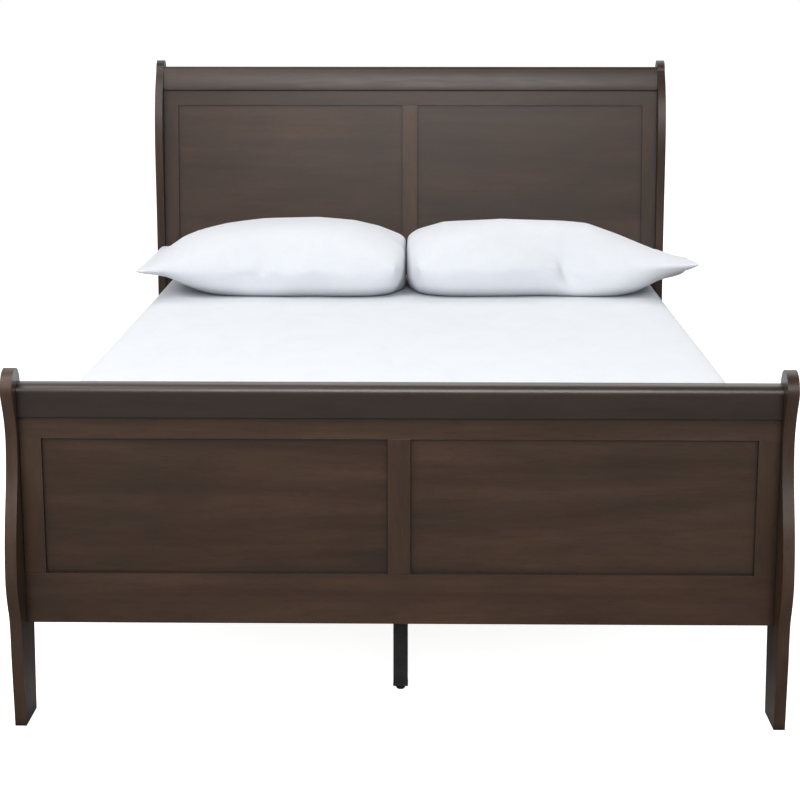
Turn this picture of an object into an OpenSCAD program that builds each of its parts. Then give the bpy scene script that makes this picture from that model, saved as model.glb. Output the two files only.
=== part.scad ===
// Sleigh bed for a full mattress. Two scrolled ends, each a frame-and-panel board between two
// shaped posts, are joined by side rails on hooks. Seven slats lie on cleats, and every other
// slat has a square centre leg with a levelling glide. Mattress and two pillows lie on top.
// Origin: on the floor, at the centre of the bed. +X is right seen from the foot, +Y is the head.

/* [Overall] */
// Width over the posts
bed_w = 1470; // [1440:5:1520]
// Length over the scrolls
bed_l = 2150; // [2130:5:2200]
// Height of the headboard scrolls
head_h = 1205; // [1190:5:1240]
// Height of the footboard scrolls
foot_h = 700; // [695:1:715]

/* [Posts] */
// Thickness of a post board
post_t = 22; // [18:1:30]
// Depth of a leg where it is widest under the side rail
leg_depth = 95; // [90:1:100]
// Radius of the headboard scroll
head_scroll_r = 30; // [28:1:32]
// Radius of the footboard scroll
foot_scroll_r = 38; // [34:1:38]

/* [Boards] */
// Thickness of rails and stiles
frame_t = 25; // [22:1:28]
// Thickness of a panel
panel_t = 12; // [8:1:12]
// Depth of the groove that holds a panel
groove_d = 8; // [6:1:12]
// Width of an outer stile
stile_w = 41; // [38:1:60]
// Width of the centre stile
centre_stile_w = 43; // [36:1:60]
// Height of a top rail
top_rail_h = 42; // [36:1:50]
// Height of both bottom rails
bottom_rail_h = 100; // [80:1:110]
// Thickness of a crown at its lower edge
crown_t = 40; // [36:1:42]
// Radius of a crown's inner top edge
crown_r = 9; // [6:1:12]
// Radius of a crown's outer top edge
crown_face_r = 18; // [9:1:20]
// Lean of a crown beyond its board's, in degrees
crown_lean = 5; // [3:0.5:6]
// Lean of the headboard, in degrees
head_lean = 2.6; // [1:0.1:3]
// Lean of the footboard, in degrees
foot_lean = 3.9; // [3:0.1:4]

/* [Side rails] */
// Height of a side rail
side_rail_h = 150; // [130:5:160]
// Underside of a side rail above the floor
side_rail_z = 225; // [215:5:235]
// Section of the cleats that carry the slats
cleat_s = 25; // [20:1:32]

/* [Slats and centre legs] */
// Number of slats
slat_count = 7; // [7:7]
// Width of a slat
slat_w = 90; // [70:5:100]
// Thickness of a slat
slat_t = 20; // [18:1:24]
// Distance between slats
slat_pitch = 282; // [270:1:285]
// Side of the square leg tube
tube_s = 29; // [25:1:35]
// Wall of the leg tube
tube_wall = 1.5; // [1:0.5:2]
// Levelling travel of a glide
glide_travel = 12; // [8:1:15]

/* [Bedding] */
// Width of the mattress
mattress_w = 1372; // [1360:1:1380]
// Length of the mattress
mattress_l = 1905; // [1890:1:1905]
// Thickness of the mattress
mattress_h = 248; // [200:1:260]
// Width of a pillow, tip to tip
pillow_w = 752; // [700:1:760]
// Depth of a pillow
pillow_d = 510; // [450:5:520]
// Thickness of a pillow at its crest
pillow_h = 182; // [150:1:190]

/* [Hidden] */
$fn = 48;
eps = 0.1;

wood = [0.24, 0.19, 0.16];
panel_wood = [0.27, 0.21, 0.18];
slat_wood = [0.80, 0.68, 0.50];
steel = [0.70, 0.70, 0.72];
black = [0.08, 0.08, 0.08];
white = [0.95, 0.95, 0.96];

// A post outline is drawn in (s, z): s runs outward from the edge that the side rail meets.
foot_depth = 145;                          // s of the footboard scroll's outer edge
rail_foot_y = -bed_l / 2 + foot_depth;     // where the side rails meet the foot posts
rail_head_y = bed_l / 2 - leg_depth;       // where the side rails meet the head posts
rail_len = rail_head_y - rail_foot_y;
inner_w = bed_w - 2 * post_t;

// Ends: each board's own frame starts at the inner face of its bottom rail, at its lower edge,
// with Y outward through the thickness and Z up along the leaning board.
head_board = [2, 400];                     // (s, z) of that corner on the headboard
foot_board = [40, 198];                    // and on the footboard
head_board_h = 719;                        // up to the underside of the crown
foot_board_h = 409;
head_crown_h = 70;                         // height of the crown itself
foot_crown_h = 65;

dowel_r = 4;
dowel_gap = 0.05;
post_dowel = 13;                           // how far a dowel goes into a post
board_dowel = 30;                          // and into the board beside or below it

// Hook joints of the side rails
hook_t = 3.5;
hook_reach = 26;
hook_in_rail = 48;
hook_h = 96;
hook_pin_r = 3;
hook_pin_gap = 0.05;
hook_pitch = 56;                           // between the two hooks of a plate
hook_pin_in = 15;                          // depth of a pin's axis behind the post's edge
slot_gap = 0.6;
notch_h = 20;                              // a hook's notch, below its pin
tooth_h = 9;                               // the tooth in front of the pin

slat_z = 332;                              // underside of the slats, on top of the cleats
first_slat_y = -812;
leg_every = 2;
leg_bottom = 10;
socket_flange = 3;
socket_depth = 22;
plate_s = 64;
plate_t = 3;
glide_stem_r = 4;
glide_r = 9.5;
bed_gap = 0.3;                             // soft parts stay this clear of their neighbours
mattress_z = slat_z + slat_t + bed_gap;
pillow_z = mattress_z + mattress_h + bed_gap;
pillow_back_y = 905;
pillow_inset = 3;                          // from the bed's middle to a pillow's inner end

function bezier(a, b, c, d, n = 12) = [
    for (i = [0 : n - 1]) let (t = i / n, u = 1 - t)
        u * u * u * a + 3 * u * u * t * b + 3 * u * t * t * c + t * t * t * d
];
function arc(c, r, from, to, n = 24) = [
    for (i = [0 : n - 1]) let (a = from + (to - from) * i / n) c + r * [cos(a), sin(a)]
];

// Outer edge from the floor up, over the scroll, and down the inner edge
function foot_outline() = let (c = [foot_depth - foot_scroll_r, foot_h - foot_scroll_r]) concat(
    [[94, 0]],
    bezier([111, 143], [112.5, 175], [114.8, 213], [123, 231.5], 6),
    bezier([123, 231.5], [133.3, 254.3], [143.6, 280], [143.6, 309], 8),
    bezier([143.6, 309], [143.6, 430], [108.5, 455], [108.5, 552]),
    bezier([108.5, 552], [108.5, 606], [143, 645], c + [foot_scroll_r, 0], 14),
    arc(c, foot_scroll_r, 0, 180),
    bezier(c - [foot_scroll_r, 0], c - [foot_scroll_r, 34], [47, 600], [47, 555]),
    bezier([47, 555], [47, 470], [0, 470], [0, side_rail_z + side_rail_h]),
    [[0, side_rail_z + side_rail_h], [0, 0]]
);
function head_outline() = let (c = [leg_depth - head_scroll_r, head_h - head_scroll_r]) concat(
    [[84, 0]],
    bezier([leg_depth, 140], [leg_depth, 400], [leg_depth, 480], [leg_depth, 640], 2),
    bezier([leg_depth, 640], [leg_depth, 830], [43, 880], [43, 1010]),
    bezier([43, 1010], [43, 1085], [leg_depth, 1105], c + [head_scroll_r, 0], 14),
    arc(c, head_scroll_r, 0, 180),
    bezier(c - [head_scroll_r, 0], [14, 1140], [-14, 1100], [-16, 975], 14),
    bezier([-16, 975], [-16, 900], [-2, 790], [0, 640]),
    [[0, 640], [0, 0]]
);
// The crown's section: from the middle of its underside, Y outward. It leans outward, its inner
// face is gently round, and so are its top edges.
function crown_outline(h) = let (
    t = crown_t / 2,
    r = crown_r,
    face_r = crown_face_r,
    upright = concat(
        bezier([t - 3, 0], [t - 1, 0], [t, 1], [t, 3], 4),
        arc([t - 1 - face_r, h - face_r], face_r, 0, 90, 14),
        arc([3 + r - t, h - r], r, 90, 180, 8),
        bezier([3 - t, h - r], [-t, 0.66 * h], [-2 - t, 0.3 * h], [-t, 4], 10),
        bezier([-t, 4], [-t, 2], [1 - t, 0], [4 - t, 0], 4),
        [[4 - t, 0]]
    )
) [for (p = upright) [p[0] + p[1] * tan(crown_lean), p[1]]];

// Placement of the two ends. What is placed is drawn with +Y outward.
module at_head() translate([0, rail_head_y, 0]) children();
module at_foot() translate([0, rail_foot_y, 0]) mirror([0, 1, 0]) children();
module on_head_board() at_head() translate([0, head_board[0], head_board[1]])
    rotate([-head_lean, 0, 0]) children();
module on_foot_board() at_foot() translate([0, foot_board[0], foot_board[1]])
    rotate([-foot_lean, 0, 0]) children();
module on_side(side) if (side > 0) children(); else mirror([1, 0, 0]) children();

// A board of section (y, z) drawn as a polygon and run along X, centred
module along_x(length) translate([-length / 2, 0, 0]) rotate([90, 0, 90])
    linear_extrude(length) children();
module box_at(low, high) translate(low) cube(high - low);

// ---- dowels of an end board: into the posts, through the stiles' ends and under the crown ----
function side_dowel_heights(board_h, crown_h) = [
    22, bottom_rail_h - 22, board_h - top_rail_h / 2, board_h + 0.42 * crown_h
];
function stile_dowel_x() = [
    -inner_w / 2 + stile_w / 2, 0, inner_w / 2 - stile_w / 2
];
function crown_dowel_x() = [for (i = [-2 : 2]) i * inner_w / 5];
module dowels(board_h, crown_h, gap) {
    for (side = [-1, 1], z = side_dowel_heights(board_h, crown_h))
        translate([side * (inner_w / 2 + (post_dowel - board_dowel) / 2), frame_t / 2, z])
            rotate([0, 90, 0])
                cylinder(r = dowel_r + gap, h = post_dowel + board_dowel, center = true);
    for (x = stile_dowel_x(), z = [bottom_rail_h, board_h - top_rail_h])
        translate([x, frame_t / 2, z]) cylinder(r = dowel_r + gap, h = board_dowel, center = true);
    for (x = crown_dowel_x())
        translate([x, frame_t / 2, board_h])
            cylinder(r = dowel_r + gap, h = board_dowel, center = true);
}

// ---- boards, in the board's own frame ----
module groove(length) box_at([-length / 2, (frame_t - panel_t) / 2, -groove_d],
                             [length / 2, (frame_t + panel_t) / 2, groove_d]);
module bottom_rail(board_h, crown_h) difference() {
    box_at([-inner_w / 2, 0, 0], [inner_w / 2, frame_t, bottom_rail_h]);
    translate([0, 0, bottom_rail_h]) groove(inner_w - 2 * stile_w + 2 * groove_d);
    dowels(board_h, crown_h, dowel_gap);
}
module top_rail(board_h, crown_h) difference() {
    box_at([-inner_w / 2, 0, board_h - top_rail_h], [inner_w / 2, frame_t, board_h]);
    translate([0, 0, board_h - top_rail_h]) groove(inner_w - 2 * stile_w + 2 * groove_d);
    dowels(board_h, crown_h, dowel_gap);
}
// sides: -1 is grooved on the left, 1 on the right. The centre stile, grooved on both, has a
// tongue at each end that fills the rails' grooves.
module stile(board_h, crown_h, x, width, sides) difference() {
    tongue = len(sides) == 2 ? groove_d : 0;
    union() {
        box_at([x - width / 2, 0, bottom_rail_h], [x + width / 2, frame_t, board_h - top_rail_h]);
        if (tongue > 0)
            box_at([x - width / 2 + groove_d, (frame_t - panel_t) / 2, bottom_rail_h - tongue],
                   [x + width / 2 - groove_d, (frame_t + panel_t) / 2, board_h - top_rail_h + tongue]);
    }
    for (side = sides)
        translate([x + side * width / 2, 0, bottom_rail_h - groove_d])
            box_at([-groove_d, (frame_t - panel_t) / 2, -eps],
                   [groove_d, (frame_t + panel_t) / 2, board_h]);
    dowels(board_h, crown_h, dowel_gap);
}
// A panel floats in its grooves: it stops short of their floors
module panel(board_h, side) {
    float_gap = 1;
    from = centre_stile_w / 2 - groove_d + float_gap;
    to = inner_w / 2 - stile_w + groove_d - float_gap;
    on_side(side) box_at(
        [from, (frame_t - panel_t) / 2, bottom_rail_h - groove_d + float_gap],
        [to, (frame_t + panel_t) / 2, board_h - top_rail_h + groove_d - float_gap]);
}
module crown(board_h, crown_h) difference() {
    translate([0, frame_t / 2, board_h]) along_x(inner_w) polygon(crown_outline(crown_h));
    dowels(board_h, crown_h, dowel_gap);
}

// ---- hook joints: drawn on the right-hand side, Y outward from the joint ----
hook_x = inner_w / 2 + post_t / 2;
hook_z = side_rail_z + side_rail_h / 2;
module hook_pin(gap) for (k = [-1, 1])
    translate([inner_w / 2 + 1, hook_pin_in, hook_z + k * hook_pitch / 2]) rotate([0, 90, 0])
        cylinder(r = hook_pin_r + gap, h = post_t - 2);
module hook_rivet(gap) for (k = [-1, 1])
    translate([inner_w / 2 + 3, -hook_in_rail / 2, hook_z + k * hook_pitch / 2]) rotate([0, 90, 0])
        cylinder(r = hook_pin_r + gap, h = post_t - 6);
module hook_slot() {
    box_at([hook_x - hook_t / 2 - slot_gap, -eps, hook_z - hook_h / 2 - 12],
           [hook_x + hook_t / 2 + slot_gap, hook_reach + 2, hook_z + hook_h / 2 + 2]);
    hook_pin(0);
}
module hook_kerf() {
    box_at([hook_x - hook_t / 2, -hook_in_rail - 1, hook_z - hook_h / 2 - 1],
           [hook_x + hook_t / 2, eps, hook_z + hook_h / 2 + 1]);
    hook_rivet(0);
}
// The plate's two notches open downward, so the rail drops onto the pins
module hook_plate() difference() {
    box_at([hook_x - hook_t / 2, -hook_in_rail, hook_z - hook_h / 2],
           [hook_x + hook_t / 2, hook_reach, hook_z + hook_h / 2]);
    hook_rivet(hook_pin_gap);
    hook_pin(hook_pin_gap);
    for (k = [-1, 1]) let (z = hook_z + k * hook_pitch / 2, r = hook_pin_r + hook_pin_gap) {
        box_at([hook_x - hook_t, hook_pin_in - r, z - notch_h],
               [hook_x + hook_t, hook_pin_in + r, z]);
        box_at([hook_x - hook_t, hook_pin_in - r, z - notch_h],
               [hook_x + hook_t, hook_reach + eps, z - tooth_h]);
    }
}
module both_ends() {
    at_head() children();
    at_foot() children();
}
module four_corners() for (side = [-1, 1]) on_side(side) both_ends() children();

// ---- posts ----
module foot_post(side) color(wood) difference() {
    on_side(side) at_foot() translate([inner_w / 2, 0, 0]) rotate([90, 0, 90])
        linear_extrude(post_t) polygon(foot_outline());
    on_foot_board() dowels(foot_board_h, foot_crown_h, dowel_gap);
    on_side(side) at_foot() hook_slot();
}
module head_post(side) color(wood) difference() {
    on_side(side) at_head() translate([inner_w / 2, 0, 0]) rotate([90, 0, 90])
        linear_extrude(post_t) polygon(head_outline());
    on_head_board() dowels(head_board_h, head_crown_h, dowel_gap);
    on_side(side) at_head() hook_slot();
}

// ---- side rails and cleats ----
cleat_end = 22;                            // the cleat stops short of the rail's ends
cleat_screw_y = [for (i = [0 : 5]) rail_foot_y + 90 + i * (rail_len - 180) / 5];
screw_r = 2.5;
screw_head_r = 4.5;
slat_y = [for (i = [0 : slat_count - 1]) first_slat_y + i * slat_pitch];
leg_y = [for (i = [0 : leg_every : slat_count - 1]) slat_y[i]];

// A countersunk screw lying along +X, with its head's top at the origin
module screw_x(length) rotate([0, 90, 0]) countersunk(length);
module countersunk(length) union() {
    cylinder(r1 = screw_head_r, r2 = screw_r, h = 2.5);
    translate([0, 0, 2.5 - eps]) cylinder(r = screw_r, h = length - 2.5 + eps);
}
module cleat_screw_row() for (y = cleat_screw_y)
    translate([inner_w / 2 - cleat_s, y, slat_z - cleat_s / 2]) screw_x(cleat_s + 15);
module slat_screw_row() for (y = slat_y)
    translate([inner_w / 2 - cleat_s / 2, y, slat_z + slat_t]) mirror([0, 0, 1])
        countersunk(slat_t + 12);

module side_rail(side) color(wood) on_side(side) difference() {
    box_at([inner_w / 2, rail_foot_y, side_rail_z],
           [bed_w / 2, rail_head_y, side_rail_z + side_rail_h]);
    both_ends() hook_kerf();
    cleat_screw_row();
}
module cleat(side) color(slat_wood) on_side(side) difference() {
    box_at([inner_w / 2 - cleat_s, rail_foot_y + cleat_end, slat_z - cleat_s],
           [inner_w / 2, rail_head_y - cleat_end, slat_z]);
    cleat_screw_row();
    slat_screw_row();
}
module rail_hooks() color(steel) four_corners() hook_plate();
module hook_pins() color(steel) four_corners() hook_pin(0);
module hook_rivets() color(steel) four_corners() hook_rivet(0);
module cleat_screws() color(steel) for (side = [-1, 1]) on_side(side) cleat_screw_row();
module slat_screws() color(steel) for (side = [-1, 1]) on_side(side) slat_screw_row();

// ---- slats ----
slat_len = inner_w - 6;
module slat(i) color(slat_wood) difference() {
    box_at([-slat_len / 2, slat_y[i] - slat_w / 2, slat_z],
           [slat_len / 2, slat_y[i] + slat_w / 2, slat_z + slat_t]);
    for (side = [-1, 1]) on_side(side) slat_screw_row();
    for (y = leg_y) leg_screw_set(y);
}

// ---- centre legs ----
leg_top = slat_z;
leg_screw_at = plate_s / 2 - 8;
module leg_screw_set(y) for (dx = [-1, 1], dy = [-1, 1])
    translate([dx * leg_screw_at, y + dy * leg_screw_at, leg_top - plate_t]) {
        cylinder(r = screw_r, h = plate_t + 14);
        translate([0, 0, -2]) cylinder(r = screw_head_r, h = 2);
    }
module centre_leg(i) color(black) difference() {
    union() {
        box_at([-plate_s / 2, leg_y[i] - plate_s / 2, leg_top - plate_t],
               [plate_s / 2, leg_y[i] + plate_s / 2, leg_top]);
        box_at([-tube_s / 2, leg_y[i] - tube_s / 2, leg_bottom + socket_flange],
               [tube_s / 2, leg_y[i] + tube_s / 2, leg_top - plate_t + eps]);
    }
    box_at([-tube_s / 2 + tube_wall, leg_y[i] - tube_s / 2 + tube_wall, leg_bottom],
           [tube_s / 2 - tube_wall, leg_y[i] + tube_s / 2 - tube_wall, leg_top - plate_t]);
    leg_screw_set(leg_y[i]);
}
// A plastic plug in the tube's end, bored for the glide's stem
stem_gap = 0.05;
module leg_sockets() color(black) for (y = leg_y) translate([0, y, leg_bottom]) difference() {
    union() {
        box_at([-tube_s / 2 - 0.5, -tube_s / 2 - 0.5, 0],
               [tube_s / 2 + 0.5, tube_s / 2 + 0.5, socket_flange]);
        box_at([-tube_s / 2 + tube_wall, -tube_s / 2 + tube_wall, socket_flange - eps],
               [tube_s / 2 - tube_wall, tube_s / 2 - tube_wall, socket_flange + socket_depth]);
    }
    translate([0, 0, -eps])
        cylinder(r = glide_stem_r + stem_gap, h = socket_flange + socket_depth + 1);
}
module leg_screws() color(black) for (y = leg_y) leg_screw_set(y);
// A domed foot on a stem; the foot's underside is flat in the middle
glide_stem = glide_travel + 14;              // 14 mm stay in the plug at full travel
module glide(i) color(black) translate([0, leg_y[i], 0]) rotate_extrude() polygon(concat(
    [[0, 0]],
    bezier([4, 0], [7, 0], [glide_r, 2], [glide_r, 6], 8),
    [[glide_r, 6], [glide_r - 1, 7], [6, 7.5], [glide_stem_r, 7.5],
     [glide_stem_r, 7.5 + glide_stem], [0, 7.5 + glide_stem]]
));

// ---- bedding ----
// A flat slab with round corners
module slab(w, d, r, z, t = 1) translate([0, 0, z]) linear_extrude(t) hull()
    for (x = [-1, 1], y = [-1, 1]) translate([x * (w / 2 - r), y * (d / 2 - r)]) circle(r, $fn = 32);
module mattress() color(white) translate([0, 0, mattress_z]) hull() {
    edge = 22;
    slab(mattress_w - 2 * edge, mattress_l - 2 * edge, 60, 0);
    slab(mattress_w - 12, mattress_l - 12, 76, edge / 3);
    slab(mattress_w, mattress_l, 82, edge, mattress_h - 2 * edge);
    slab(mattress_w - 12, mattress_l - 12, 76, mattress_h - 1 - edge / 3);
    slab(mattress_w - 2 * edge, mattress_l - 2 * edge, 60, mattress_h - 1);
}
module pillow(side) color(white)
    translate([side * (pillow_inset + pillow_w / 2), pillow_back_y - pillow_d / 2, pillow_z])
        hull() {
            slab(pillow_w - 190, pillow_d - 170, 90, 0);
            slab(pillow_w - 40, pillow_d - 30, 50, 0.30 * pillow_h);
            slab(pillow_w, pillow_d, 30, 0.42 * pillow_h, 8);
            slab(pillow_w - 130, pillow_d - 110, 80, 0.80 * pillow_h);
            slab(pillow_w - 330, pillow_d - 260, 100, pillow_h - 1);
        }

// ---- the two ends, piece by piece ----
module head_crown() color(wood) on_head_board() crown(head_board_h, head_crown_h);
module head_top_rail() color(wood) on_head_board() top_rail(head_board_h, head_crown_h);
module head_bottom_rail() color(wood) on_head_board() bottom_rail(head_board_h, head_crown_h);
module head_stile(side) color(wood) on_head_board()
    stile(head_board_h, head_crown_h, side * (inner_w - stile_w) / 2, stile_w, [-side]);
module head_stile_centre() color(wood) on_head_board()
    stile(head_board_h, head_crown_h, 0, centre_stile_w, [-1, 1]);
module head_panel(side) color(panel_wood) on_head_board() panel(head_board_h, side);
module head_dowels() color(slat_wood) on_head_board() dowels(head_board_h, head_crown_h, 0);

module foot_crown() color(wood) on_foot_board() crown(foot_board_h, foot_crown_h);
module foot_top_rail() color(wood) on_foot_board() top_rail(foot_board_h, foot_crown_h);
module foot_bottom_rail() color(wood) on_foot_board() bottom_rail(foot_board_h, foot_crown_h);
module foot_stile(side) color(wood) on_foot_board()
    stile(foot_board_h, foot_crown_h, side * (inner_w - stile_w) / 2, stile_w, [-side]);
module foot_stile_centre() color(wood) on_foot_board()
    stile(foot_board_h, foot_crown_h, 0, centre_stile_w, [-1, 1]);
module foot_panel(side) color(panel_wood) on_foot_board() panel(foot_board_h, side);
module foot_dowels() color(slat_wood) on_foot_board() dowels(foot_board_h, foot_crown_h, 0);

head_post(-1);  // head_post_left
head_post(1);  // head_post_right
head_crown();
head_top_rail();
head_bottom_rail();
head_stile(-1);  // head_stile_left
head_stile(1);  // head_stile_right
head_stile_centre();
head_panel(-1);  // head_panel_left
head_panel(1);  // head_panel_right
head_dowels();
foot_post(-1);  // foot_post_left
foot_post(1);  // foot_post_right
foot_crown();
foot_top_rail();
foot_bottom_rail();
foot_stile(-1);  // foot_stile_left
foot_stile(1);  // foot_stile_right
foot_stile_centre();
foot_panel(-1);  // foot_panel_left
foot_panel(1);  // foot_panel_right
foot_dowels();
side_rail(-1);  // side_rail_left
side_rail(1);  // side_rail_right
cleat(-1);  // cleat_left
cleat(1);  // cleat_right
rail_hooks();
hook_pins();
hook_rivets();
cleat_screws();
slat_screws();
slat(0);  // slat_1
slat(1);  // slat_2
slat(2);  // slat_3
slat(3);  // slat_4
slat(4);  // slat_5
slat(5);  // slat_6
slat(6);  // slat_7
centre_leg(0);  // centre_leg_1
centre_leg(1);  // centre_leg_2
centre_leg(2);  // centre_leg_3
centre_leg(3);  // centre_leg_4
leg_sockets();
leg_screws();
glide(0);  // glide_1
glide(1);  // glide_2
glide(2);  // glide_3
glide(3);  // glide_4
mattress();
pillow(-1);  // pillow_left
pillow(1);  // pillow_right
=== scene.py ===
"""Looks of the sleigh bed: stained wood, painted steel, a sheeted mattress and two filled pillows."""
import math

import bmesh
import bpy
import numpy as np
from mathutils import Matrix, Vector, noise


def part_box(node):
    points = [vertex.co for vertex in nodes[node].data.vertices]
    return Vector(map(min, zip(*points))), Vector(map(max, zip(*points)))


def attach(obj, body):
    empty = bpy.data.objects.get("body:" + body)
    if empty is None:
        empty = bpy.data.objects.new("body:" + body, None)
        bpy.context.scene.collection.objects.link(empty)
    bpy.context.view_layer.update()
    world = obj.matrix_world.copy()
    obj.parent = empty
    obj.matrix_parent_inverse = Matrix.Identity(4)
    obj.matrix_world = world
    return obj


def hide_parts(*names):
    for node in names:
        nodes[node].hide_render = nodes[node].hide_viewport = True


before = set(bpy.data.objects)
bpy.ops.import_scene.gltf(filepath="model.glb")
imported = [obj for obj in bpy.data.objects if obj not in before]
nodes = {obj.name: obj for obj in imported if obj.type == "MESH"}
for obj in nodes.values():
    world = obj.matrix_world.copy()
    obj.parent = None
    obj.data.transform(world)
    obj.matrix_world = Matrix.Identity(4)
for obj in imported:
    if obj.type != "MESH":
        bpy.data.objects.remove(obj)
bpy.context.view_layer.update()  # the imported model's parts, moved to their world places
scene = bpy.context.scene


# ---------------------------------------------------------------- small helpers
def link(piece):
    """Puts a new object into the scene."""
    scene.collection.objects.link(piece)
    return piece


def mesh_piece(name, points, faces, material, smooth=True):
    """A mesh object from lists of points and faces."""
    mesh = bpy.data.meshes.new(name)
    mesh.from_pydata([tuple(p) for p in points], [], faces)
    mesh.update()
    if smooth:
        mesh.polygons.foreach_set("use_smooth", [True] * len(mesh.polygons))
    piece = link(bpy.data.objects.new(name, mesh))
    piece.data.materials.append(material)
    return piece


def get_points(mesh):
    points = np.empty(len(mesh.vertices) * 3, np.float32)
    mesh.vertices.foreach_get("co", points)
    return points.reshape(-1, 3).astype(float)


def set_points(mesh, points):
    mesh.vertices.foreach_set("co", points.astype(np.float32).ravel())
    mesh.update()


def smoothstep(low, high, x):
    t = np.clip((x - low) / (high - low), 0, 1)
    return t * t * (3 - 2 * t)


# ---------------------------------------------------------------- camera and light
CAMERA_AT = (0.0547, -4.492, 1.3745)
CAMERA_PITCH = -0.1375      # radians, down
CAMERA_YAW = 0.0152         # radians, to the left
CAMERA_LENS = 85.4
CAMERA_SHIFT = -0.17

camera_data = bpy.data.cameras.new("camera")
camera_data.lens = CAMERA_LENS
camera_data.shift_y = CAMERA_SHIFT
camera = link(bpy.data.objects.new("camera", camera_data))
camera.location = CAMERA_AT
camera.rotation_euler = (math.pi / 2 + CAMERA_PITCH, 0, CAMERA_YAW)
scene.camera = camera
scene.view_settings.view_transform = "Standard"


def area_light(name, place, target, size, power):
    """A square soft light that looks at a point."""
    data = bpy.data.lights.new(name, "AREA")
    data.shape = "SQUARE"
    data.size = size
    data.energy = power
    light = link(bpy.data.objects.new(name, data))
    light.location = place
    light.rotation_euler = (Vector(target) - Vector(place)).to_track_quat("-Z", "Y").to_euler()
    return light


# The key from the left, a wide one overhead, and one in front that shows in the headboard's lacquer
area_light("key_light", (-2.4, -2.6, 4.4), (0, 0, 0.4), 3.2, 105)
area_light("top_light", (0.7, 1.9, 4.7), (0, 0, 0.4), 4.0, 54)
area_light("front_light", (0.10, -6.3, 3.15), (0, 0, 0.7), 2.8, 203)


def make_world():
    """A white backdrop behind the bed and a dim room in front of it; pure white to the eye."""
    world = bpy.data.worlds.new("studio")
    world.use_nodes = True
    tree = world.node_tree
    tree.nodes.clear()
    place = tree.nodes.new("ShaderNodeTexCoord")
    split = tree.nodes.new("ShaderNodeSeparateXYZ")
    tree.links.new(place.outputs["Generated"], split.inputs[0])
    ramp = tree.nodes.new("ShaderNodeMapRange")
    ramp.interpolation_type = "SMOOTHSTEP"
    ramp.inputs["From Min"].default_value = -0.25
    ramp.inputs["From Max"].default_value = 0.55
    ramp.inputs["To Min"].default_value = ROOM_LIGHT
    ramp.inputs["To Max"].default_value = BACKDROP_LIGHT
    tree.links.new(split.outputs["Y"], ramp.inputs["Value"])
    path = tree.nodes.new("ShaderNodeLightPath")
    mix = tree.nodes.new("ShaderNodeMixShader")
    out = tree.nodes.new("ShaderNodeOutputWorld")
    room = tree.nodes.new("ShaderNodeBackground")
    tree.links.new(ramp.outputs["Result"], room.inputs["Strength"])
    white = tree.nodes.new("ShaderNodeBackground")
    white.inputs["Strength"].default_value = 1.0
    for background, socket in ((room, 1), (white, 2)):
        background.inputs["Color"].default_value = (1, 1, 1, 1)
        tree.links.new(background.outputs[0], mix.inputs[socket])
    tree.links.new(path.outputs["Is Camera Ray"], mix.inputs[0])
    tree.links.new(mix.outputs[0], out.inputs["Surface"])
    scene.world = world


ROOM_LIGHT = 0.22
BACKDROP_LIGHT = 0.90
make_world()


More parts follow.
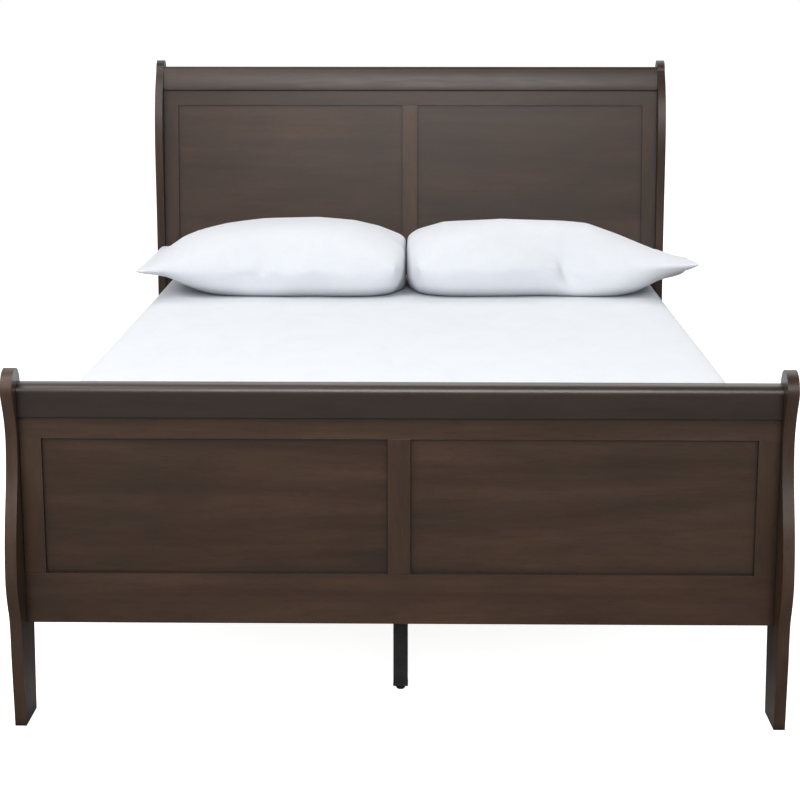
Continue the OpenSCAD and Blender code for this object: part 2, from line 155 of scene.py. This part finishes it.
# ---------------------------------------------------------------- materials
class Nodes:
    """A material's node tree, with short calls for the nodes used here."""

    def __init__(self, name):
        self.material = bpy.data.materials.new(name)
        self.material.use_nodes = True
        self.tree = self.material.node_tree
        self.shader = self.tree.nodes["Principled BSDF"]
        self.output = self.tree.nodes["Material Output"]

    def add(self, kind, **settings):
        node = self.tree.nodes.new("ShaderNode" + kind)
        for key, value in settings.items():
            setattr(node, key, value)
        return node

    def join(self, source, target):
        self.tree.links.new(source, target)

    def coordinates(self, scale=(1, 1, 1), vary=0.0):
        """Object coordinates, stretched, and moved by a different amount on each object."""
        place = self.add("TexCoord").outputs["Object"]
        if vary:
            info = self.add("ObjectInfo")
            shift = self.add("VectorMath", operation="SCALE")
            shift.inputs[0].default_value = (vary, vary * 0.7, vary * 1.3)
            self.join(info.outputs["Random"], shift.inputs["Scale"])
            add = self.add("VectorMath", operation="ADD")
            self.join(place, add.inputs[0])
            self.join(shift.outputs[0], add.inputs[1])
            place = add.outputs[0]
        mapping = self.add("Mapping")
        mapping.inputs["Scale"].default_value = scale
        self.join(place, mapping.inputs["Vector"])
        return mapping.outputs[0]

    def noise(self, place, scale, detail=4.0, roughness=0.5, distortion=0.0):
        node = self.add("TexNoise")
        node.inputs["Scale"].default_value = scale
        node.inputs["Detail"].default_value = detail
        node.inputs["Roughness"].default_value = roughness
        node.inputs["Distortion"].default_value = distortion
        self.join(place, node.inputs["Vector"])
        return node.outputs["Fac"]

    def ramp(self, value, stops):
        node = self.add("ValToRGB")
        elements = node.color_ramp.elements
        for index, (position, colour) in enumerate(stops):
            if index < 2:
                element = elements[index]
                element.position = position
            else:
                element = elements.new(position)
            element.color = (*colour, 1)
        self.join(value, node.inputs["Fac"])
        return node.outputs["Color"]

    def remap(self, value, low, high, from_low=0.0, from_high=1.0):
        node = self.add("MapRange")
        node.inputs["From Min"].default_value = from_low
        node.inputs["From Max"].default_value = from_high
        node.inputs["To Min"].default_value = low
        node.inputs["To Max"].default_value = high
        self.join(value, node.inputs["Value"])
        return node.outputs["Result"]

    def blend(self, factor, first, second, mode="MIX"):
        node = self.add("Mix", data_type="RGBA", blend_type=mode)
        for value, socket in ((factor, node.inputs[0]), (first, node.inputs[6]), (second, node.inputs[7])):
            if isinstance(value, (int, float)):
                socket.default_value = value
            elif isinstance(value, tuple):
                socket.default_value = (*value, 1)
            else:
                self.join(value, socket)
        return node.outputs[2]

    def bump(self, heights):
        """A chain of bumps: (height, distance in metres, strength)."""
        normal = None
        for height, distance, strength in heights:
            node = self.add("Bump")
            node.inputs["Distance"].default_value = distance
            node.inputs["Strength"].default_value = strength
            self.join(height, node.inputs["Height"])
            if normal is not None:
                self.join(normal, node.inputs["Normal"])
            normal = node.outputs["Normal"]
        self.join(normal, self.shader.inputs["Normal"])


# Stretch of the grain along each axis: long along the board, short across it
GRAIN = {"x": (0.09, 1.0, 1.0), "z": (1.0, 1.0, 0.09), "y": (1.0, 0.09, 1.0)}
CLOUD = {"x": (0.45, 1.0, 1.0), "z": (1.0, 1.0, 0.45), "y": (1.0, 0.45, 1.0)}
DARK = (0.036, 0.0190, 0.0108)
MIDDLE = (0.051, 0.0275, 0.0160)
LIGHT = (0.067, 0.0375, 0.0222)


def stained_wood(name, axis, tint=1.0, coat=0.16, coat_roughness=0.24):
    """Dark stained wood under a satin lacquer, its grain along one axis. Painted shade darkens the corners
    and recesses.
    """
    n = Nodes(name)
    place = n.coordinates(GRAIN[axis], vary=7.0)
    figure = n.noise(place, 9.0, 4.0, 0.5, 1.4)
    fibre = n.noise(place, 110.0, 5.0, 0.6, 0.3)
    pores = n.noise(place, 420.0, 3.0, 0.6)
    cloud = n.noise(n.coordinates(CLOUD[axis], vary=3.0), 4.5, 3.0, 0.55, 0.6)
    dark, middle, light = (tuple(tint * c for c in colour) for colour in (DARK, MIDDLE, LIGHT))
    colour = n.ramp(figure, [(0.30, dark), (0.72, light), (0.50, middle)])
    streak = n.ramp(fibre, [(0.30, (0.74, 0.70, 0.66)), (0.62, (1.0, 1.0, 1.0))])
    pore = n.ramp(pores, [(0.34, (0.60, 0.56, 0.52)), (0.46, (1.0, 1.0, 1.0))])
    tone = n.ramp(cloud, [(0.30, (0.82, 0.80, 0.79)), (0.70, (1.22, 1.19, 1.15))])
    colour = n.blend(0.55, colour, streak, "MULTIPLY")
    colour = n.blend(0.45, colour, pore, "MULTIPLY")
    colour = n.blend(1.0, colour, tone, "MULTIPLY")
    patch = n.noise(n.coordinates(CLOUD[axis], vary=11.0), 7.0, 4.0, 0.6, 1.1)
    warmth = n.ramp(patch, [(0.44, (1.0, 1.0, 1.0)), (0.74, (1.28, 1.11, 0.96))])
    colour = n.blend(1.0, colour, warmth, "MULTIPLY")
    # Painted shade: the colour is darkened where ambient occlusion finds corners and recesses
    corner = n.add("AmbientOcclusion", samples=6)
    corner.inputs["Distance"].default_value = 0.016
    painted_shade = n.ramp(corner.outputs["AO"], [(0.45, (0.22, 0.18, 0.16)), (0.92, (1.0, 1.0, 1.0))])
    colour = n.blend(1.0, colour, painted_shade, "MULTIPLY")
    n.join(colour, n.shader.inputs["Base Color"])
    n.join(n.remap(fibre, 0.32, 0.44, 0.3, 0.7), n.shader.inputs["Roughness"])
    n.shader.inputs["Specular IOR Level"].default_value = 0.42
    n.shader.inputs["Coat Weight"].default_value = coat
    n.shader.inputs["Coat Roughness"].default_value = coat_roughness
    n.bump([(figure, 0.0005, 0.20), (fibre, 0.0003, 0.25), (pores, 0.0002, 0.25)])
    return n.material


def plain_wood(name, axis):
    """Unfinished pine, as slats and cleats are."""
    n = Nodes(name)
    place = n.coordinates(GRAIN[axis], vary=5.0)
    figure = n.noise(place, 14.0, 4.0, 0.5, 1.6)
    fibre = n.noise(place, 160.0, 5.0, 0.6)
    dark, middle, light = (0.50, 0.34, 0.19), (0.64, 0.47, 0.29), (0.72, 0.55, 0.36)
    colour = n.ramp(figure, [(0.30, dark), (0.70, light), (0.50, middle)])
    streak = n.ramp(fibre, [(0.3, (0.84, 0.80, 0.76)), (0.65, (1.0, 1.0, 1.0))])
    n.join(n.blend(0.8, colour, streak, "MULTIPLY"), n.shader.inputs["Base Color"])
    n.join(n.remap(fibre, 0.55, 0.75), n.shader.inputs["Roughness"])
    n.bump([(figure, 0.0005, 0.3), (fibre, 0.0003, 0.4)])
    return n.material


def steel(name):
    """Zinc-plated steel."""
    n = Nodes(name)
    place = n.coordinates()
    spangle = n.noise(place, 90.0, 3.0)
    colour = n.ramp(spangle, [(0.3, (0.45, 0.46, 0.47)), (0.7, (0.66, 0.66, 0.66))])
    n.join(colour, n.shader.inputs["Base Color"])
    n.shader.inputs["Metallic"].default_value = 1.0
    n.join(n.remap(spangle, 0.28, 0.45), n.shader.inputs["Roughness"])
    n.bump([(n.noise(place, 700.0, 2.0), 0.0001, 0.3)])
    return n.material


def black_paint(name):
    """Powder-coated steel: a fine orange peel and a little dust."""
    n = Nodes(name)
    place = n.coordinates()
    dust = n.noise(place, 30.0, 5.0, 0.65)
    colour = n.ramp(dust, [(0.35, (0.010, 0.010, 0.011)), (0.8, (0.032, 0.030, 0.029))])
    n.join(colour, n.shader.inputs["Base Color"])
    n.join(n.remap(dust, 0.38, 0.55), n.shader.inputs["Roughness"])
    n.bump([(n.noise(place, 900.0, 2.0), 0.0002, 0.5)])
    return n.material


def black_plastic(name):
    """Moulded black plastic with a fine grain."""
    n = Nodes(name)
    place = n.coordinates()
    grain = n.noise(place, 1400.0, 2.0)
    scuff = n.noise(place, 60.0, 5.0, 0.7)
    colour = n.ramp(scuff, [(0.4, (0.013, 0.013, 0.014)), (0.85, (0.05, 0.05, 0.05))])
    n.join(colour, n.shader.inputs["Base Color"])
    n.join(n.remap(scuff, 0.45, 0.65), n.shader.inputs["Roughness"])
    n.bump([(grain, 0.0002, 0.6)])
    return n.material


WEAVE = 900.0  # scale of the threads


def cotton(name, light, shade):
    """White cotton: a fine plain weave and soft creases, with painted cool shade in the creases' hollows
    and painted shadow at contacts.
    """
    n = Nodes(name)
    place = n.coordinates()
    threads = []
    for axis in ("X", "Y", "Z"):
        wave = n.add("TexWave", bands_direction=axis, wave_profile="SIN")
        wave.inputs["Scale"].default_value = WEAVE
        wave.inputs["Distortion"].default_value = 0.6
        n.join(place, wave.inputs["Vector"])
        threads.append(wave.outputs["Fac"])
    cross = n.add("Math", operation="ADD")
    n.join(threads[0], cross.inputs[0])
    n.join(threads[1], cross.inputs[1])
    height = n.add("Math", operation="ADD")
    n.join(cross.outputs[0], height.inputs[0])
    n.join(threads[2], height.inputs[1])
    crease = n.noise(n.coordinates((1.0, 0.55, 1.0)), 16.0, 5.0, 0.55, 0.8)
    slub = n.noise(place, 260.0, 4.0, 0.6)
    # Painted shade: the crease hollows darker and cooler than their crests
    base = n.ramp(crease, [(0.32, shade), (0.62, light)])
    thread_tone = n.ramp(slub, [(0.30, (0.965, 0.968, 0.975)), (0.65, (1.0, 1.0, 1.0))])
    colour = n.blend(0.8, base, thread_tone, "MULTIPLY")
    # Painted shadow: darker where ambient occlusion finds contacts, such as under the pillows
    contact = n.add("AmbientOcclusion", samples=6)
    contact.inputs["Distance"].default_value = 0.045
    painted_shade = n.ramp(contact.outputs["AO"], [(0.10, (0.50, 0.52, 0.54)), (0.62, (1.0, 1.0, 1.0))])
    colour = n.blend(1.0, colour, painted_shade, "MULTIPLY")
    n.join(colour, n.shader.inputs["Base Color"])
    n.join(n.remap(slub, 0.78, 0.92), n.shader.inputs["Roughness"])
    n.shader.inputs["Sheen Weight"].default_value = 0.25
    n.shader.inputs["Sheen Roughness"].default_value = 0.5
    n.shader.inputs["Specular IOR Level"].default_value = 0.25
    n.bump([(crease, 0.004, 0.30), (slub, 0.0003, 0.35), (height.outputs[0], 0.0001, 0.35)])
    return n.material


wood_along = {axis: stained_wood(f"stained_wood_{axis}", axis) for axis in "xyz"}
stile_wood = stained_wood("stile_wood", "z", 1.30)
# Painted shade: the crowns' wood is a darker copy, the foot crown's most, for the shade on their faces
crown_wood_painted_shade = {
    "head": stained_wood("head_crown_wood", "x", 0.84, 0.10),
    "foot": stained_wood("foot_crown_wood", "x", 0.52, 0.60, 0.30),
}
pine_along = {axis: plain_wood(f"pine_{axis}", axis) for axis in "xy"}
zinc = steel("zinc_steel")
paint = black_paint("black_paint")
plastic = black_plastic("black_plastic")
# Each cotton gets its colour and a painted shade colour for its crease hollows
sheet_cotton = cotton("sheet_cotton", (0.845, 0.865, 0.90), (0.815, 0.84, 0.885))
pillow_cotton = cotton("pillow_cotton", (0.855, 0.873, 0.91), (0.83, 0.855, 0.90))


# ---------------------------------------------------------------- the CAD pieces
def soften(node, width, segments=3):
    """Merges a CAD piece's flat triangles and rounds its edges, with modifiers alone."""
    mesh = node.data
    if "custom_normal" in mesh.attributes:
        mesh.attributes.remove(mesh.attributes["custom_normal"])
    mesh.polygons.foreach_set("use_smooth", [True] * len(mesh.polygons))
    weld = node.modifiers.new("weld", "WELD")
    weld.merge_threshold = 0.00002
    flat = node.modifiers.new("flat_faces", "DECIMATE")
    flat.decimate_type = "DISSOLVE"
    flat.angle_limit = math.radians(0.5)
    bevel = node.modifiers.new("rounded_edges", "BEVEL")
    bevel.width = width
    bevel.segments = segments
    bevel.limit_method = "ANGLE"
    bevel.angle_limit = math.radians(40)
    bevel.harden_normals = False
    normals = node.modifiers.new("even_shading", "WEIGHTED_NORMAL")
    normals.keep_sharp = False
    normals.weight = 80


def finish_node(name, material, width):
    node = nodes[name]
    node.data.materials.clear()
    node.data.materials.append(material)
    if width:
        soften(node, width)


POST_EDGE = 0.0030
BOARD_EDGE = 0.0012
for end in ("head", "foot"):
    for side in ("left", "right"):
        finish_node(f"{end}_post_{side}", wood_along["z"], POST_EDGE)
        finish_node(f"{end}_stile_{side}", wood_along["z"], BOARD_EDGE)
        finish_node(f"{end}_panel_{side}", wood_along["x"], BOARD_EDGE)
    finish_node(f"{end}_stile_centre", stile_wood, BOARD_EDGE)
    finish_node(f"{end}_top_rail", wood_along["x"], BOARD_EDGE)
    finish_node(f"{end}_bottom_rail", wood_along["x"], BOARD_EDGE)
    finish_node(f"{end}_crown", crown_wood_painted_shade[end], BOARD_EDGE)
    finish_node(f"{end}_dowels", pine_along["x"], 0)
for side in ("left", "right"):
    finish_node(f"side_rail_{side}", wood_along["y"], 0.0025)
    finish_node(f"cleat_{side}", pine_along["y"], 0.0012)
for name in ("rail_hooks", "hook_pins", "hook_rivets", "cleat_screws", "slat_screws"):
    finish_node(name, zinc, 0)
for number in range(1, 8):
    finish_node(f"slat_{number}", pine_along["x"], 0.0025)
for number in range(1, 5):
    finish_node(f"centre_leg_{number}", paint, 0.0010)
    finish_node(f"glide_{number}", plastic, 0)
finish_node("leg_sockets", plastic, 0.0006)
finish_node("leg_screws", paint, 0)


# ---------------------------------------------------------------- bedding
def run_cloth(piece, frames, pressure, stiffness, bending, volume=0.0):
    """Swells a closed cloth piece for some frames and returns the points it ends at."""
    cloth = piece.modifiers.new("cloth", "CLOTH")
    settings = cloth.settings
    settings.quality = 6
    settings.mass = 0.15
    settings.air_damping = 5.0
    settings.tension_stiffness = stiffness
    settings.compression_stiffness = stiffness
    settings.shear_stiffness = stiffness / 2
    settings.bending_stiffness = bending
    settings.tension_damping = 25
    settings.compression_damping = 25
    settings.shear_damping = 25
    settings.use_pressure = True
    settings.uniform_pressure_force = pressure
    if volume:
        settings.use_pressure_volume = True
        settings.target_volume = volume
    settings.effector_weights.gravity = 0
    cloth.collision_settings.use_collision = False
    cloth.collision_settings.use_self_collision = False
    cloth.point_cache.frame_start = 1
    cloth.point_cache.frame_end = frames
    for number in range(1, frames + 1):
        scene.frame_set(number)
    evaluated = piece.evaluated_get(bpy.context.evaluated_depsgraph_get())
    swollen = get_points(evaluated.to_mesh())
    evaluated.to_mesh_clear()
    piece.modifiers.remove(cloth)
    scene.frame_set(1)
    return swollen


def subdivide(piece):
    """Applies one subdivision to a piece's mesh."""
    modifier = piece.modifiers.new("smooth", "SUBSURF")
    modifier.levels = modifier.render_levels = 1
    evaluated = piece.evaluated_get(bpy.context.evaluated_depsgraph_get())
    mesh = bpy.data.meshes.new_from_object(evaluated)
    piece.modifiers.remove(modifier)
    old = piece.data
    piece.data = mesh
    bpy.data.meshes.remove(old)
    mesh.polygons.foreach_set("use_smooth", [True] * len(mesh.polygons))


def point_normals(mesh):
    """The normal at each of a mesh's points."""
    normal = np.zeros(len(mesh.vertices) * 3, np.float32)
    mesh.vertices.foreach_get("normal", normal)
    return normal.reshape(-1, 3)


def noise_at(points, scale, offset=(0, 0, 0)):
    """Smooth noise of about -1 to 1 at each point."""
    shift = Vector(offset)
    places = (Vector((p[0] * scale[0], p[1] * scale[1], p[2] * scale[2])) for p in points)
    return np.array([noise.noise(place + shift) for place in places])


# -- pillows: two cut panels sewn at their edge and filled
CUT_WIDTH, CUT_DEPTH = 0.79, 0.55       # the two panels before filling
CUT_ACROSS, CUT_ALONG = 66, 46          # squares of their grid
INNER_CUT = 0.42                        # how round the inner end's corners are cut


def pillow_mesh(name, material):
    """Two flat panels on one grid with their edge in common. Local +X is the inner end."""
    across, along, width, depth = CUT_ACROSS, CUT_ALONG, CUT_WIDTH, CUT_DEPTH
    points, faces = [], []
    index = {}
    for layer in (1, -1):
        for j in range(along + 1):
            for i in range(across + 1):
                on_edge = i in (0, across) or j in (0, along)
                if on_edge and layer == -1:
                    index[(i, j, -1)] = index[(i, j, 1)]
                    continue
                u, v = 2 * i / across - 1, 2 * j / along - 1
                inner = max(u, 0)
                x = width / 2 * u * (math.sqrt(1 - INNER_CUT * v * v / 2) if u > 0 else 1)
                y = depth / 2 * v * math.sqrt(1 - INNER_CUT * inner * inner / 2)
                z = 0.0 if on_edge else layer * 0.022 * ((1 - u**4) * (1 - v**4)) ** 0.5
                index[(i, j, layer)] = len(points)
                points.append((x, y, z))
    for layer in (1, -1):
        for j in range(along):
            for i in range(across):
                ring = [index[(i, j, layer)], index[(i + 1, j, layer)],
                        index[(i + 1, j + 1, layer)], index[(i, j + 1, layer)]]
                faces.append(ring if layer == 1 else ring[::-1])
    return mesh_piece(name, points, faces, material)


def calm(mesh, points, weight, rounds):
    """Evens out folds, fully where the weight is 1 and not at all where it is 0."""
    ends = np.empty(len(mesh.edges) * 2, int)
    mesh.edges.foreach_get("vertices", ends)
    first, second = ends.reshape(-1, 2).T
    count = np.bincount(ends, minlength=len(points))[:, None]
    for _ in range(rounds):
        total = np.zeros_like(points)
        np.add.at(total, first, points[second])
        np.add.at(total, second, points[first])
        points = points + 0.5 * weight[:, None] * (total / count - points)
    return points


def height_along(line, u):
    """The height of a line of (place, height) points at u, with smooth turns."""
    places, heights = zip(*line)
    fine = np.linspace(0, 1, 201)
    values = np.interp(fine, places, heights)
    for _ in range(3):
        values[1:-1] = (values[:-2] + 2 * values[1:-1] + values[2:]) / 4
    return np.interp(u, fine, values)


def profile_of(u, z, sign):
    """The crest of one half of a pillow from its outer end to its inner end."""
    bins = 40
    crest = np.zeros(bins)
    index = np.clip((u * bins).astype(int), 0, bins - 1)
    np.maximum.at(crest, index, sign * z)
    for _ in range(4):
        crest[1:-1] = (crest[:-2] + 2 * crest[1:-1] + crest[2:]) / 4
    return np.interp(u, (np.arange(bins) + 0.5) / bins, np.maximum(crest, 0.010))


def straighten_hem(start, swollen):
    """Draws the outer end out to a nearly straight hem between its two corners."""
    v = 2 * start[:, 1] / CUT_DEPTH
    seam = start[:, 0] < -CUT_WIDTH / 2 + 0.001
    order = np.argsort(v[seam])
    edge = np.interp(v, v[seam][order], swollen[seam, 0][order])
    hollow = edge - swollen[seam, 0].min()
    nearness = smoothstep(0.10, -0.90, 2 * start[:, 0] / CUT_WIDTH)
    result = swollen.copy()
    result[:, 0] -= 0.88 * hollow * nearness**2
    return result


def fill_pillow(piece, seed):
    """Swells the flat panels, evens out the folds in their middles and straightens the outer hem."""
    start = get_points(piece.data)
    start[:, 2] += 0.002 * noise_at(start, (9, 9, 9), (seed, 0, 0))
    set_points(piece.data, start)
    u, v = start[:, 0] / (CUT_WIDTH / 2), start[:, 1] / (CUT_DEPTH / 2)
    swollen = run_cloth(piece, PILLOW_FRAMES, PILLOW_PRESSURE, 12.0, 0.6, PILLOW_VOLUME)
    inside = smoothstep(1.0, 0.72, np.abs(u)) * smoothstep(1.0, 0.70, np.abs(v))
    swollen = calm(piece.data, swollen, inside, CALM_ROUNDS)
    set_points(piece.data, straighten_hem(start, swollen))


def make_pillow(name, side, seed, outer_x, inner_x, crest_line, seam_line, hem, back_drop):
    """A filled pillow on the mattress. side is -1 for the left one and 1 for the right."""
    low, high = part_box(f"pillow_{name}")
    piece = pillow_mesh(f"pillow_{name}_cover", pillow_cotton)
    fill_pillow(piece, seed)
    subdivide(piece)
    p = get_points(piece.data)
    p -= (p.min(0) + p.max(0)) / 2
    span = np.ptp(p, axis=0)
    u = p[:, 0] / span[0] + 0.5  # 0 at the outer tips, 1 at the inner end
    z = p[:, 2]
    seam = height_along(seam_line, u)
    upper = (height_along(crest_line, u) - seam) / profile_of(u, z, 1)
    lower = (seam - height_along(BASE_LINE, u)) / profile_of(u, z, -1)
    height = seam + np.where(z > 0, z * upper, z * lower)
    # The outer end sinks a little toward the headboard
    height -= back_drop * smoothstep(0.45, 0.0, u) * smoothstep(-0.5, 0.5, p[:, 1] / span[1])
    # Lies on the mattress, where the filling flattens
    height = FOOT_ROUND * np.logaddexp(0, height / FOOT_ROUND)
    # The stitched hem round the pillowcase's outer end
    normal = point_normals(piece.data)
    line = np.exp(-(((u - hem) * span[0]) / 0.004) ** 2)
    ledge = smoothstep(hem + 0.012, hem - 0.004, u)
    push = 0.0012 * ledge - 0.0016 * line
    x = outer_x + u * (inner_x - outer_x)
    # The two inner ends press against each other
    meet = PILLOWS_MEET + side * PILLOW_GAP / 2
    beyond = side * (x - meet)
    x = meet + side * END_ROUND * np.logaddexp(0, beyond / END_ROUND)
    y = low[1] + (p[:, 1] / span[1] + 0.5) * (high[1] - low[1])
    z = low[2] + height
    p = np.stack([x - side * normal[:, 0] * push, y + normal[:, 1] * push, z + normal[:, 2] * push], axis=1)
    p[:, 2] = np.maximum(p[:, 2], low[2])
    set_points(piece.data, p)
    if side > 0:  # its inner end is at its low x, so its faces have turned inside out
        piece.data.flip_normals()
    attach(piece, f"pillow_{name}")
    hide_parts(f"pillow_{name}")
    return piece


PILLOWS_MEET = -0.006       # where the two inner ends touch
PILLOW_GAP = 0.0024         # left free between them
END_ROUND = 0.004           # how gently an inner end turns into that flat
FOOT_ROUND = 0.005          # how gently a pillow turns into its flat base
PILLOW_PRESSURE = 1.0
PILLOW_VOLUME = 0.036
PILLOW_FRAMES = 40
CALM_ROUNDS = 45
# Heights above the mattress from a pillow's outer tips (0) to its inner end (1), in metres
CREST_LEFT = ((0, 0.072), (0.03, 0.082), (0.08, 0.108), (0.13, 0.134), (0.20, 0.154), (0.28, 0.166),
              (0.43, 0.178), (0.64, 0.185), (0.78, 0.180), (0.87, 0.166), (0.96, 0.141), (1, 0.122))
CREST_RIGHT = ((0, 0.104), (0.05, 0.108), (0.12, 0.124), (0.24, 0.156), (0.35, 0.182),
               (0.46, 0.188), (0.65, 0.193), (0.85, 0.181), (0.94, 0.159), (1, 0.131))
SEAM_LEFT = ((0, 0.076), (0.3, 0.080), (1, 0.080))
SEAM_RIGHT = ((0, 0.097), (0.10, 0.092), (0.35, 0.080), (1, 0.080))
BASE_LINE = ((0, 0.062), (0.10, 0.040), (0.15, 0.018), (0.20, -0.002), (0.27, -0.022), (0.40, -0.044),
             (0.65, -0.058), (0.85, -0.058), (0.93, -0.038), (0.97, -0.010), (1, 0.028))


# -- mattress in its fitted sheet
SIDE_FULLNESS = 0.004       # how far each side stands out past the plain solid
SWELL = 0.006               # the most that the filling swells the cover
PLAN_CORNER = 0.070         # radius of the corners seen from above
LONG_EDGE = 0.024           # radius of the edges above and below
MATTRESS_GRID = (88, 122, 16)


def make_mattress():
    """A crowned, round-edged mattress, swollen a little as cloth so that its faces and edges are soft."""
    low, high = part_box("mattress")
    half = np.array([(high[i] - low[i]) / 2 for i in range(3)]) + np.array([SIDE_FULLNESS, 0.0, 0.0])
    centre = np.array([(high[i] + low[i]) / 2 for i in range(3)])
    box = half - SWELL
    mesh = bmesh.new()
    bmesh.ops.create_cube(mesh, size=2)
    for axis, count in enumerate(MATTRESS_GRID):
        normal, at = [0, 0, 0], [0, 0, 0]
        normal[axis] = 1
        for cut in range(1, count):
            at[axis] = -1 + 2 * cut / count
            geometry = mesh.verts[:] + mesh.edges[:] + mesh.faces[:]
            bmesh.ops.bisect_plane(mesh, geom=geometry, plane_co=at, plane_no=normal)
    data = bpy.data.meshes.new("mattress_cover")
    mesh.to_mesh(data)
    mesh.free()
    piece = link(bpy.data.objects.new("mattress_cover", data))
    data.materials.append(sheet_cotton)
    p = get_points(data) * box
    # Round corners in plan, then round edges above and below
    corner, edge = PLAN_CORNER, LONG_EDGE
    core = np.clip(p[:, :2], -(box[:2] - corner), box[:2] - corner)
    out = p[:, :2] - core
    length = np.linalg.norm(out, axis=1)
    reach = np.abs(out).max(axis=1)
    heading = out / np.maximum(length, 1e-9)[:, None]
    a = np.clip(reach - (corner - edge), 0, edge)
    b = np.clip(np.abs(p[:, 2]) - (box[2] - edge), 0, edge)
    scale = np.maximum(a, b) / np.maximum(np.hypot(a, b), 1e-9)
    p[:, :2] = core + heading * (reach - a + a * scale)[:, None]
    p[:, 2] = np.sign(p[:, 2]) * (np.abs(p[:, 2]) - b + b * scale)
    set_points(data, p)
    swollen = run_cloth(piece, 10, 0.25, stiffness=30.0, bending=2.0)
    move = swollen - p
    size = np.linalg.norm(move, axis=1, keepdims=True)
    swollen = p + move * np.minimum(1, SWELL / np.maximum(size, 1e-9))
    set_points(data, swollen)
    subdivide(piece)
    p = get_points(piece.data)
    normal = point_normals(piece.data).astype(float)
    top = smoothstep(0.5, 0.9, normal[:, 2])
    side = 1 - np.abs(normal[:, 2])
    rise = (p[:, 2] + half[2]) / (2 * half[2])
    # Faint creases on top, drawn across the bed
    push = top * (0.0011 * noise_at(p, (2.6, 8.0, 2.0)) + 0.0005 * noise_at(p, (7.0, 20.0, 5.0), (5, 0, 0)))
    # Gathers of the elastic hem low on the sides, deepest near the corners
    to_corner = np.hypot(half[0] - np.abs(p[:, 0]), half[1] - np.abs(p[:, 1]))
    gather = side * (1 - smoothstep(0.05, 0.75, rise)) * (0.25 + np.exp(-((to_corner / 0.22) ** 2)))
    girth = np.where(np.abs(normal[:, 0]) > np.abs(normal[:, 1]), p[:, 1], p[:, 0])
    folds = noise_at(np.stack([girth, p[:, 2] * 0.12, 0 * girth], axis=1), (28, 28, 1), (9, 2, 0))
    push += 0.0040 * gather * (folds - 0.35)
    # A sewn seam down each corner
    across = (half[0] - np.abs(p[:, 0])) - (half[1] - np.abs(p[:, 1]))
    seam = np.exp(-((across / 0.006) ** 2)) * np.exp(-((to_corner / 0.12) ** 4))
    push -= 0.0020 * seam * side
    p += normal * push[:, None]
    p += centre
    p[:, 2] = np.clip(p[:, 2], low[2] + 0.0003, high[2] - 0.0002)
    set_points(piece.data, p)
    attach(piece, "mattress")
    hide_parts("mattress")
    return piece


mattress = make_mattress()
pillow_left = make_pillow("left", -1, 3.0, -0.712, 0.010, CREST_LEFT, SEAM_LEFT, 0.19, 0.0)
pillow_right = make_pillow("right", 1, 11.0, 0.757, -0.022, CREST_RIGHT, SEAM_RIGHT, 0.12, 0.042)


# ---------------------------------------------------------------- floor
def make_floor():
    """A plain pale floor. What the bed reflects of it is duller than what the eye sees."""
    n = Nodes("pale_floor")
    speck = n.noise(n.coordinates(), 40.0, 3.0)
    colour = n.ramp(speck, [(0.3, (0.86, 0.86, 0.86)), (0.7, (0.88, 0.88, 0.88))])
    n.join(colour, n.shader.inputs["Base Color"])
    n.shader.inputs["Roughness"].default_value = 0.9
    n.shader.inputs["Specular IOR Level"].default_value = 0.0
    n.shader.inputs["Emission Color"].default_value = (1, 1, 1, 1)
    n.shader.inputs["Emission Strength"].default_value = 0.87
    dull = n.add("BsdfDiffuse")
    dull.inputs["Color"].default_value = (0.30, 0.30, 0.30, 1)
    seen = n.add("LightPath")
    mix = n.add("MixShader")
    n.join(seen.outputs["Is Camera Ray"], mix.inputs[0])
    n.join(dull.outputs[0], mix.inputs[1])
    n.join(n.shader.outputs[0], mix.inputs[2])
    n.join(mix.outputs[0], n.output.inputs["Surface"])
    reach = 40.0
    points = [(-reach, -reach, 0), (reach, -reach, 0), (reach, reach, 0), (-reach, reach, 0)]
    floor = mesh_piece("floor", points, [(0, 1, 2, 3)], n.material, smooth=False)


make_floor()
